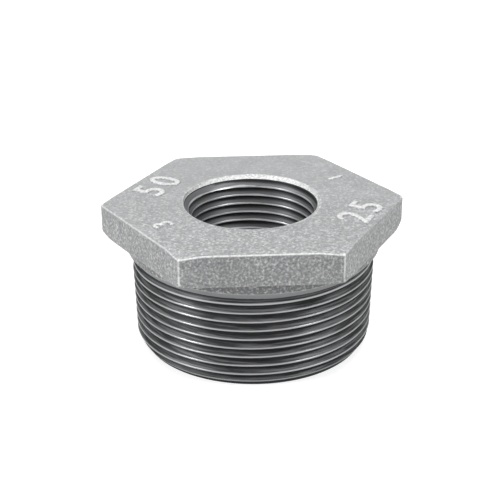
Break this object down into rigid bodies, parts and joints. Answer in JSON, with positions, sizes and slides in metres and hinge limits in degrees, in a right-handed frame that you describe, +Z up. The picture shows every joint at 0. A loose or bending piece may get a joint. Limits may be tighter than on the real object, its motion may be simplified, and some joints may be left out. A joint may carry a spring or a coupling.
{
  "type": "hexagon reducing bush",
  "caption": "Cast hexagon reducing bush that joins a smaller pipe to a larger socket: taper male thread outside, parallel female thread inside.",
  "frame": {"origin": "centre of the lower face, on the axis of both threads", "axes": "+Z up the axis, from the small end of the male thread to the top of the hexagon; +X towards a corner of the hexagon"},
  "size_m": [0.0746, 0.065, 0.036],
  "materials": {
    "galvanised_iron": "hot-dip galvanised cast skin, bare cut metal on the threads"
  },
  "bodies": {
    "root": {"bush": "galvanised_iron"}
  },
  "joints": []
}
